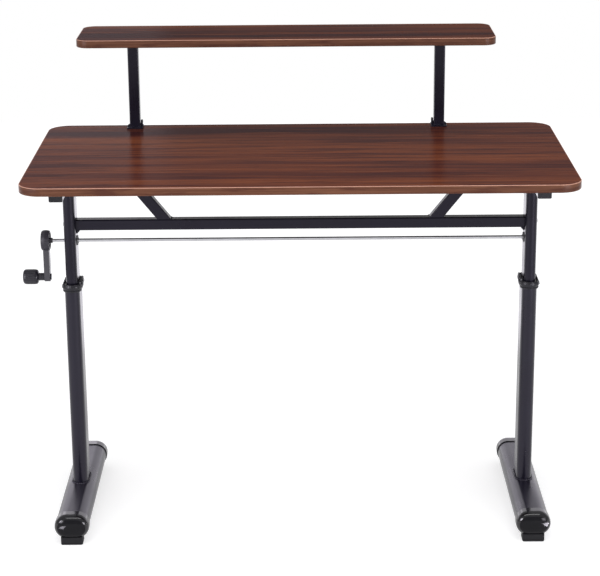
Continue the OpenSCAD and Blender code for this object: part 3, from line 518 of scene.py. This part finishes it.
nylon = mottled(
    "natural_nylon", ((0.66, 0.64, 0.56, 1), (0.76, 0.74, 0.66, 1)), roughness=(0.38, 0.5), cloud=(50.0, 3.0),
    grain=(400.0, 2.0), raised=(0.03 * mm, 0.5),
)
dress(nylon, "left_guide_sleeve", "right_guide_sleeve")


def satin_plastic(name, dark, painted_highlight_layer, smooth=0.36, rough=0.5, gloss=0.5):
    """Moulded plastic with a fine sparked texture, whose mirror share is gloss."""
    return mottled(
        name, (dark, painted_highlight_layer), roughness=(smooth, rough), cloud=(40.0, 3.0), grain=(1100.0, 2.0),
        raised=(0.04 * mm, 0.6), gloss=gloss,
    )


black_plastic = satin_plastic(
    "satin_black_plastic", (0.009, 0.0085, 0.013, 1), (0.018, 0.0168, 0.025, 1), 0.34, 0.46, 0.32
)


def soften(node, name, finish, body, radius):
    """A copy of a CAD piece with its sharp edges rounded, which takes that piece's place."""
    bm = bmesh.new()
    bm.from_mesh(nodes[node].data)
    bmesh.ops.remove_doubles(bm, verts=bm.verts, dist=same_point)
    bmesh.ops.dissolve_limit(bm, angle_limit=math.radians(flat_edge), verts=bm.verts[:], edges=bm.edges[:])
    edges = [e for e in bm.edges if len(e.link_faces) == 2 and e.calc_face_angle(0) > math.radians(sharp_edge)]
    bmesh.ops.bevel(
        bm, geom=edges, offset=radius, segments=2, affect="EDGES", profile=0.5, material=-1, clamp_overlap=True
    )
    piece = make_piece(name, bm, finish, body)
    piece.modifiers.new("even_flats", "WEIGHTED_NORMAL").keep_sharp = True
    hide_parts(node)


for side in ("left", "right"):
    soften(side + "_clamp_collar", side + "_moulded_collar", black_plastic, "base", soft_edge)
    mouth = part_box(side + "_lower_tube")
    axis = (mouth[0] + mouth[1]) / 2
    arc_y = (mouth[1].y - mouth[0].y - (mouth[1].x - mouth[0].x)) / 2
    neck = Vector((neck_out, 0, mouth[1].z + neck_up))
    belly = Vector((belly_out, 0, mouth[1].z - belly_down))
    slope = math.atan2(neck.z - belly.z, belly.x - neck.x)
    bm = bmesh.new()
    for end in (-1, 1):
        for turn in rib_turns:
            at = (
                Matrix.Translation((axis.x, axis.y + end * arc_y, 0))
                @ Matrix.Rotation(math.radians(end * 90 + turn), 4, "Z")
                @ Matrix.Translation((neck + belly) / 2)
                @ Matrix.Rotation(slope, 4, "Y")
                @ Matrix.Diagonal((rib_length, rib_width, rib_height, 1))
            )
            made = bmesh.ops.create_cube(bm, size=1, matrix=at)["verts"]
            edges = list({edge for vert in made for edge in vert.link_edges})
            bmesh.ops.bevel(
                bm, geom=edges, offset=rib_edge, segments=2, affect="EDGES", profile=0.5, material=-1
            )
    make_piece(side + "_collar_ribs", bm, black_plastic, "base")


# Lock levers
# A small cam lever, moulded in the collars' plastic, stands in each collar's pocket and leans away from the leg. It
# turns on a zinc plated steel pin, driven in from the front.
dress(zinc, "lever_pins")
for side in ("left", "right"):
    soften(side + "_lock_lever", side + "_moulded_lever", black_plastic, side + "_lever", soft_edge)


# Upper legs
# Narrower oval tubes slide in the lower ones on nylon blocks. A pressed plate closes each at the top and takes the two
# bolts up into the side rail.
dress(powder_coat, "left_upper_tube", "right_upper_tube")
dress(nylon, "left_slide_block", "right_slide_block")
soften("leg_top_plates", "pressed_top_plates", powder_coat, "top_frame", radius=0.8 * mm)
dress(zinc, "top_plate_bolts")


# Side rails
# Square steel tubes along both sides, powder coated like the legs and screwed up into the desktop. A plastic plug is
# pressed into each end.
dress(powder_coat, "left_side_rail", "right_side_rail")
soften("rail_end_plugs", "moulded_rail_plugs", black_plastic, "top_frame", radius=0.6 * mm)


# Crossbar
# A square steel tube between the legs, powder coated. One bolt through each leg holds it by a tapped block in its end,
# over a small welded gusset.
dress(powder_coat, "crossbar")
dress(zinc, "crossbar_end_blocks")
soften("crossbar_gussets", "welded_gussets", powder_coat, "top_frame", radius=0.6 * mm)

black_zinc = mottled(
    "black_zinc_plated_steel", ((0.020, 0.020, 0.024, 1), (0.045, 0.044, 0.050, 1)), roughness=(0.26, 0.42),
    cloud=(70.0, 4.0), grain=(700.0, 2.0), raised=(0.02 * mm, 0.5), metallic=1.0,
)
dress(black_zinc, "crossbar_bolts")


# Braces
# Two lengths of the crossbar's tube lean out from it to the desktop. Each is welded to the bar and to a flat tab, which
# two screws hold under the board.
brace_bead = 1.5 * mm
brace_bead_step = 2.1 * mm
brace_side = 25 * mm
brace_run = 106 * mm
brace_tab_t = 3 * mm

for side, out in (("left", -1), ("right", 1)):
    dress(powder_coat, side + "_brace")
    low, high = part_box(side + "_brace")
    rise = high.z - low.z
    half_cut = brace_side / math.cos(math.atan2(brace_run, rise)) / 2
    foot_x = (low.x if out > 0 else high.x) + out * half_cut
    under_tab = rise - brace_tab_t
    count = int(brace_side / brace_bead_step)
    bm = bmesh.new()
    for x, z in ((foot_x, low.z), (foot_x + out * brace_run * under_tab / rise, low.z + under_tab)):
        lay_bead(bm, [
            Vector((x + end * half_cut, (low.y + high.y) / 2 + (i - (count - 1) / 2) * brace_bead_step, z))
            for end in (-1, 1) for i in range(count)
        ], brace_bead)
    make_piece(side + "_brace_weld", bm, powder_coat, "top_frame", sharp=60)


# Desktop and shelf
# Particle boards with a satin walnut laminate, whose grain runs from side to side, and a lighter plastic edging 2 mm
# thick, scraped round at both arrises. A pale painted highlight runs along its upper arris, and the shelf's laminate
# and edging are darkened by painted shade.
edging = 2 * mm
arris = 1.6 * mm
# The depth below the board's top where the edging's upper arris carries a painted highlight.
arris_highlight_from, arris_highlight_to = 0.1 * mm, 0.7 * arris
level = 1e-6
grain_dark = (0.043, 0.0122, 0.0130, 1)
grain_mid = (0.104, 0.0280, 0.0172, 1)
grain_warm = (0.186, 0.052, 0.0220, 1)
grain_fleck = (0.026, 0.0088, 0.0100, 1)
grain_fibre = (0.045, 0.0155, 0.0140, 1)
grain_pore = (0.024, 0.0085, 0.0085, 1)
edging_dark = (0.120, 0.045, 0.026, 1)
edging_mid = (0.218, 0.090, 0.052, 1)
edging_blotch = (0.085, 0.026, 0.018, 1)
edging_gloss = 0.12
# The pale colour of the painted highlight on the edging's upper arris.
painted_arris_highlight = (0.62, 0.33, 0.245, 1)
black = (0, 0, 0, 1)
drift_stretch = (1.1, 3.0, 3.0)
corner_steps = 24


def wandering_grain(tree, stretch, detail, wander, at=(0, 0, 0)):
    """Noise drawn out along X, whose lines drift gently from side to side, by up to wander, in metres."""
    where = tree.nodes.new("ShaderNodeTexCoord")
    drift = between(tree, pattern(tree, drift_stretch, 1.0, 2.0, at), 0.0, 1.0, -wander, wander)
    shift = tree.nodes.new("ShaderNodeCombineXYZ")
    tree.links.new(drift, shift.inputs["Y"])
    add = tree.nodes.new("ShaderNodeVectorMath")
    add.operation = "ADD"
    tree.links.new(where.outputs["Object"], add.inputs[0])
    tree.links.new(shift.outputs[0], add.inputs[1])
    return pattern(tree, stretch, 1.0, detail, at, add.outputs[0])


def walnut(name, painted_light_level, gloss):
    """Satin walnut laminate, darkened by painted shade where its light level is under 1,
    whose mirror share is gloss.
    """
    finish, tree, shader = new_finish(name)
    bands = wandering_grain(tree, (0.7, 13, 4), 2.0, wander=0.03)
    streaks = wandering_grain(tree, (3.2, 70, 9), 3.0, wander=0.02, at=(3, 1, 0))
    flecks = wandering_grain(tree, (7, 95, 9), 2.0, wander=0.02, at=(4, 6, 0))
    fibres = wandering_grain(tree, (14, 520, 30), 2.0, wander=0.02, at=(7, 2, 0))
    pores = wandering_grain(tree, (45, 900, 40), 1.0, wander=0.02, at=(1, 9, 0))
    colour = blend_colours(tree, between(tree, bands, 0.36, 0.50), grain_dark, grain_mid)
    colour = blend_colours(tree, between(tree, bands, 0.50, 0.66), colour, grain_warm)
    colour = blend_colours(tree, between(tree, streaks, 0.50, 0.34, 0.0, 0.8), colour, grain_dark)
    colour = blend_colours(tree, between(tree, streaks, 0.54, 0.70, 0.0, 0.7), colour, grain_warm)
    colour = blend_colours(tree, between(tree, flecks, 0.37, 0.27, 0.0, 0.7), colour, grain_fleck)
    colour = blend_colours(tree, between(tree, fibres, *noise_span, 0.0, 0.4), colour, grain_fibre)
    colour = blend_colours(tree, between(tree, pores, 0.64, 0.72, 0.0, 0.5), colour, grain_pore)
    # Painted shade darkens the laminate towards black where the light level is under 1.
    colour = blend_colours(tree, 1 - painted_light_level, colour, black)
    tree.links.new(colour, shader.inputs["Base Color"])
    tree.links.new(between(tree, streaks, *noise_span, 0.20, 0.28), shader.inputs["Roughness"])
    shader.inputs["Specular IOR Level"].default_value = gloss
    raise_surface(tree, shader, fibres, 0.03 * mm, 0.25)
    return finish


def edge_strip(name, painted_light_level):
    """Streaky plastic edging, darkened by painted shade where its light level is under 1, with a pale painted
    highlight where its attribute marks the upper arris.
    """
    finish, tree, shader = new_finish(name)
    layers = pattern(tree, (5, 5, 330), 1.0, 3.0)
    blotches = pattern(tree, (14, 14, 110), 1.0, 3.0, (5, 5, 5))
    colour = blend_colours(tree, between(tree, layers, 0.32, 0.68), edging_dark, edging_mid)
    colour = blend_colours(tree, between(tree, blotches, 0.50, 0.66, 0.0, 0.7), colour, edging_blotch)
    # Painted shade darkens the edging towards black in the same way.
    colour = blend_colours(tree, 1 - painted_light_level, colour, black)
    # A painted highlight, dimmed with the painted shade, lies where the attribute marks the upper arris.
    mark = tree.nodes.new("ShaderNodeAttribute")
    mark.attribute_name = "painted_arris_highlight"
    colour = blend_colours(tree, between(tree, mark.outputs["Fac"], 0.0, 1.0, 0.0, painted_light_level), colour, painted_arris_highlight)
    tree.links.new(colour, shader.inputs["Base Color"])
    tree.links.new(between(tree, blotches, *noise_span, 0.32, 0.44), shader.inputs["Roughness"])
    shader.inputs["Specular IOR Level"].default_value = edging_gloss
    raise_surface(tree, shader, layers, 0.03 * mm, 0.4)
    return finish


def thicken(bm, thickness):
    """Draws all faces down into a body as thick as thickness."""
    made = bmesh.ops.extrude_face_region(bm, geom=bm.faces[:])["geom"]
    sunk = [part for part in made if isinstance(part, bmesh.types.BMVert)]
    bmesh.ops.translate(bm, verts=sunk, vec=(0, 0, -thickness))


def board(name, band_node, corner, painted_light_level, gloss):
    """The laminated core and the edging round it, in the space of the CAD board and its band."""
    low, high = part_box(band_node)
    middle, width, depth = (low + high) / 2, high.x - low.x, high.y - low.y
    top = (middle.x, middle.y, high.z)

    bm = bmesh.new()
    rounded_face(
        bm, top, (1, 0, 0), (0, 1, 0), width - 2 * edging, depth - 2 * edging, corner - edging, corner_steps
    )
    thicken(bm, high.z - low.z)
    core = make_piece(name + "_board", bm, walnut(name + "_laminate", painted_light_level, gloss), "top_frame")

    bm = bmesh.new()
    rounded_face(bm, top, (1, 0, 0), (0, 1, 0), width, depth, corner, corner_steps)
    inner = bm.faces[:]
    bmesh.ops.inset_individual(bm, faces=inner, thickness=edging, use_even_offset=True)
    bmesh.ops.delete(bm, geom=inner, context="FACES")
    thicken(bm, high.z - low.z)
    bmesh.ops.recalc_face_normals(bm, faces=bm.faces[:])
    outer = [
        edge for edge in bm.edges
        if abs(edge.verts[0].co.z - edge.verts[1].co.z) < level
        and any(abs(f.normal.z) < 0.5 and f.normal.dot(f.calc_center_median() - middle) > 0 for f in edge.link_faces)
        and any(abs(f.normal.z) > 0.5 for f in edge.link_faces)
    ]
    bmesh.ops.bevel(bm, geom=outer, offset=arris, segments=4, affect="EDGES", profile=0.5, material=-1)
    # Marks the rows of the upper arris that carry the painted highlight.
    painted_highlight_layer = bm.verts.layers.float.new("painted_arris_highlight")
    for vert in bm.verts:
        vert[painted_highlight_layer] = float(arris_highlight_from < high.z - vert.co.z < arris_highlight_to)
    band = make_piece(name + "_edging", bm, edge_strip(name + "_edging", painted_light_level), "top_frame")
    return core, band


desk_board, desk_edging = board("desktop", "desktop_edge_band", corner=50 * mm, painted_light_level=1.0, gloss=0.005)
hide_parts("desktop")
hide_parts("desktop_edge_band")
# The shelf's laminate and edging are darkened by painted shade.
shelf_board, shelf_edging = board("shelf", "shelf_edge_band", corner=30 * mm, painted_light_level=0.78, gloss=0.0018)
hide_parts("shelf")
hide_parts("shelf_edge_band")


# Shelf posts
# Square tubes welded between two plates, with a rounded tab beside each foot, towards the other post, and a sloped rib
# on its far side. Two bolts from below hold each post on the desktop, and four black screws go up into the shelf.
post_bead = 1.2 * mm
post_bead_step = 1.9 * mm
post_side = 25 * mm
plate_t = 3 * mm


def around_square(side, step):
    """Places about a step apart round a square."""
    count = round(side / step)
    places = []
    for turn in range(4):
        corner = Matrix.Rotation(turn * math.pi / 2, 4, "Z")
        places += [corner @ Vector((side / 2, side * (i / count - 0.5), 0)) for i in range(count)]
    return places


for side in ("left", "right"):
    name = side + "_shelf_post"
    soften(name, side + "_welded_post", powder_coat, "top_frame", soft_edge)
    low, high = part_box(name)
    axis = Vector(((low.x + high.x) / 2, (low.y + high.y) / 2, 0))
    bm = bmesh.new()
    for z in (low.z + plate_t, high.z - plate_t):
        ring = [axis + place + Vector((0, 0, z)) for place in around_square(post_side, post_bead_step)]
        lay_bead(bm, ring, post_bead)
    make_piece(side + "_post_weld", bm, powder_coat, "top_frame", sharp=60)
dress(black_zinc, "desktop_screws", "post_screws", "shelf_screws")


# Lifting drive
# The crank turns a hexagonal rod through both legs. In each leg a pair of bevel gears in a moulded housing turns a lead
# screw, which climbs in a brass nut on top of a steel tube.
brass = mottled(
    "machined_brass", ((0.52, 0.36, 0.12, 1), (0.66, 0.48, 0.19, 1)), roughness=(0.22, 0.36), cloud=(40.0, 4.0),
    grain=(200.0, 2.0), raised=(0.02 * mm, 0.5), metallic=1.0, drawn=(12, 30),
)

grey_nylon = satin_plastic("grey_nylon", (0.075, 0.075, 0.080, 1), (0.11, 0.11, 0.115, 1))

dress(zinc, "crank_rod")
dress(grey_nylon, "rod_bushes")
dress(black_plastic, "left_gear_housing", "right_gear_housing")
dress(brass, "left_lead_nut", "right_lead_nut")
dress(bare_steel, "left_nut_tube", "right_nut_tube", "thrust_bearings", "left_lead_screw", "right_lead_screw")
dress(bare_steel, "left_screw_gear", "right_screw_gear", "left_rod_gear", "right_rod_gear")


# Crank
# A moulded hub with a hollow, ribbed inner face is pinned on the rod's round end. A flat steel arm, coated a lighter
# grey, hangs from it and carries the knob on a black pin.
hub_bore_r = 6 * mm
hub_rim_r = 19 * mm
hub_web_t = 1.6 * mm
hub_web_depth = 1.5 * mm
hub_web_in = 1.3 * mm
hub_boss_l = 6.2 * mm
hub_webs = 8

hub_plastic = satin_plastic("crank_hub_plastic", (0.034, 0.031, 0.042, 1), (0.056, 0.052, 0.067, 1), 0.40, 0.52, 0.3)
arm_coat = satin_plastic("grey_arm_coat", (0.050, 0.047, 0.060, 1), (0.066, 0.062, 0.078, 1), 0.3, 0.42)

soften("crank_hub", "moulded_hub", hub_plastic, "crank", soft_edge)
soften("crank_arm", "coated_arm", arm_coat, "crank", radius=2 * mm)
dress(black_zinc, "knob_pin")

low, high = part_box("crank_hub")
rod_low, rod_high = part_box("crank_rod")
rod_axis = Vector((high.x - hub_boss_l, (rod_low.y + rod_high.y) / 2, (rod_low.z + rod_high.z) / 2))
bm = bmesh.new()
for web in range(hub_webs):
    at = (
        Matrix.Translation(rod_axis - Vector((hub_web_in, 0, 0)))
        @ Matrix.Rotation(2 * math.pi * (web + 0.5) / hub_webs, 4, "X")
        @ Matrix.Translation((0, 0, (hub_bore_r + hub_rim_r) / 2))
        @ Matrix.Diagonal((hub_web_depth, hub_web_t, hub_rim_r - hub_bore_r, 1))
    )
    bmesh.ops.create_cube(bm, size=1, matrix=at)
make_piece("hub_webs", bm, hub_plastic, "crank")


# Knob
# A black plastic grip, round like a turned one, with shallow flutes along it. It spins on the pin, and its neck keeps
# it off the arm.
flutes = 20
steps_in_flute = 8
fluted_radius = 15 * mm
flute_depth = 0.7 * mm
flute_from = 4.5 * mm
flute_fade = 3 * mm
grip_length = 35.8 * mm
grip_middle = grip_length / 2
spun_seam = 0.005 * mm
# Along the pin from the outer end and out from it, in millimetres
knob_profile = [
    (0, 0), (0, 9.4), (0.35, 12.0), (1.6, 14.7), (3.5, 16.4), (6.2, 17.2), (9, 17.4), (13.5, 17.4), (17.9, 17.4),
    (22.3, 17.4), (26.8, 17.4), (29.6, 17.2), (32.3, 16.4), (34.2, 14.7), (35.45, 12.0), (35.8, 9.4), (36.3, 8.8),
    (48.6, 8.8), (49.1, 8.3), (49.1, 4.05), (6, 4.05), (6, 0),
]

knob_plastic = satin_plastic("knob_plastic", (0.012, 0.011, 0.018, 1), (0.024, 0.022, 0.034, 1), 0.3, 0.42, 0.36)
low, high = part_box("crank_knob")
knob_end = Vector((low.x, (low.y + high.y) / 2, (low.z + high.z) / 2))
bm = bmesh.new()
points = [bm.verts.new(knob_end + Vector((along, 0, radius)) * mm) for along, radius in knob_profile]
line = [bm.edges.new(pair) for pair in zip(points, points[1:])]
bmesh.ops.spin(
    bm, geom=points + line, cent=knob_end, axis=(1, 0, 0), angle=2 * math.pi, steps=flutes * steps_in_flute,
    use_merge=True, use_duplicate=False,
)
bmesh.ops.remove_doubles(bm, verts=bm.verts, dist=spun_seam)
for vert in bm.verts:
    away = vert.co - knob_end
    radius = math.hypot(away.y, away.z)
    edge_room = grip_middle - abs(away.x - grip_middle) - flute_from
    if radius > fluted_radius and edge_room > 0:
        wave = 0.5 - 0.5 * math.cos(flutes * math.atan2(away.y, away.z))
        share = 1 - flute_depth * wave * min(1, edge_room / flute_fade) / radius
        vert.co.yz = knob_end.yz + away.yz * share
knob = make_piece("fluted_knob", bm, knob_plastic, "knob", sharp=40)
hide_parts("crank_knob")
